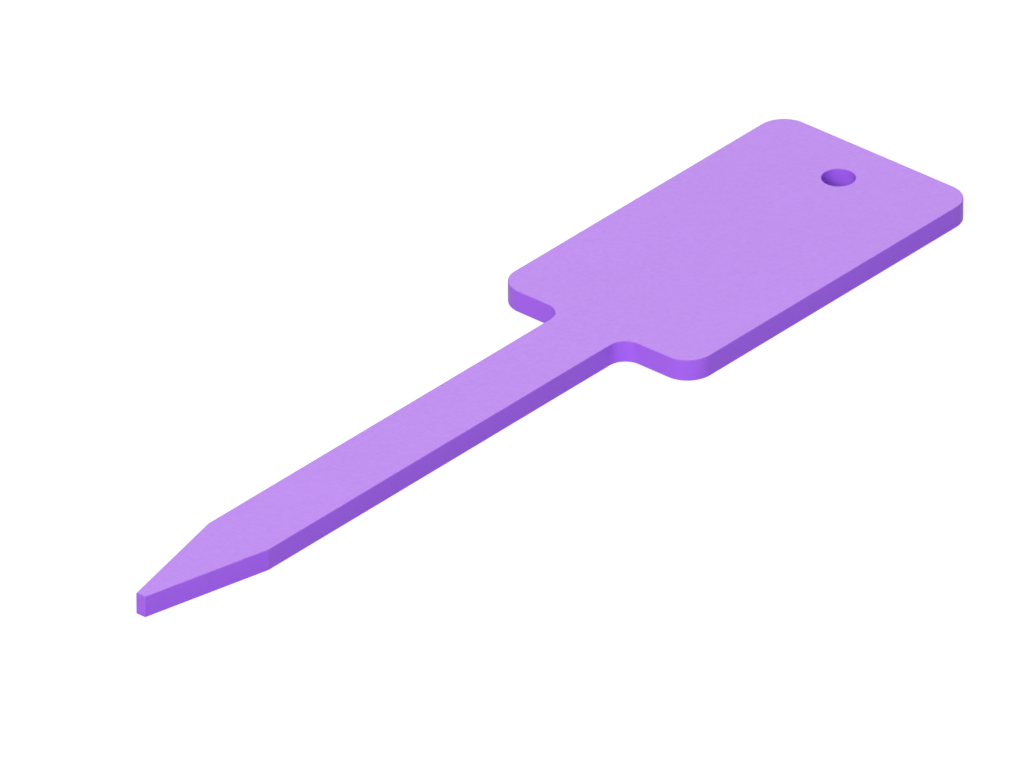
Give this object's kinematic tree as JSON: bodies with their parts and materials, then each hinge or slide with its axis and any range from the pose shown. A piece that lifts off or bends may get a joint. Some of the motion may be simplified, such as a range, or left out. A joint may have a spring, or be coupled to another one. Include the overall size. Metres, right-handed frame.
{
  "type": "plant label stake",
  "caption": "Flat plastic plant label stake: a rounded rectangular head with a tie hole, a filleted neck and a straight blade that tapers to a blunt tip for pushing into soil.",
  "frame": {"origin": "centre of the bounding box's bottom: on the back face, on the centre line, halfway along the stake", "axes": "+Y along the stake from the tip towards the head's far end, +X across the stake, +Z out of the face that is written on"},
  "size_m": [0.026, 0.115, 0.0024],
  "materials": {
    "purple_plastic": "satin"
  },
  "bodies": {
    "root": {"label_stake": "purple_plastic"}
  },
  "joints": []
}
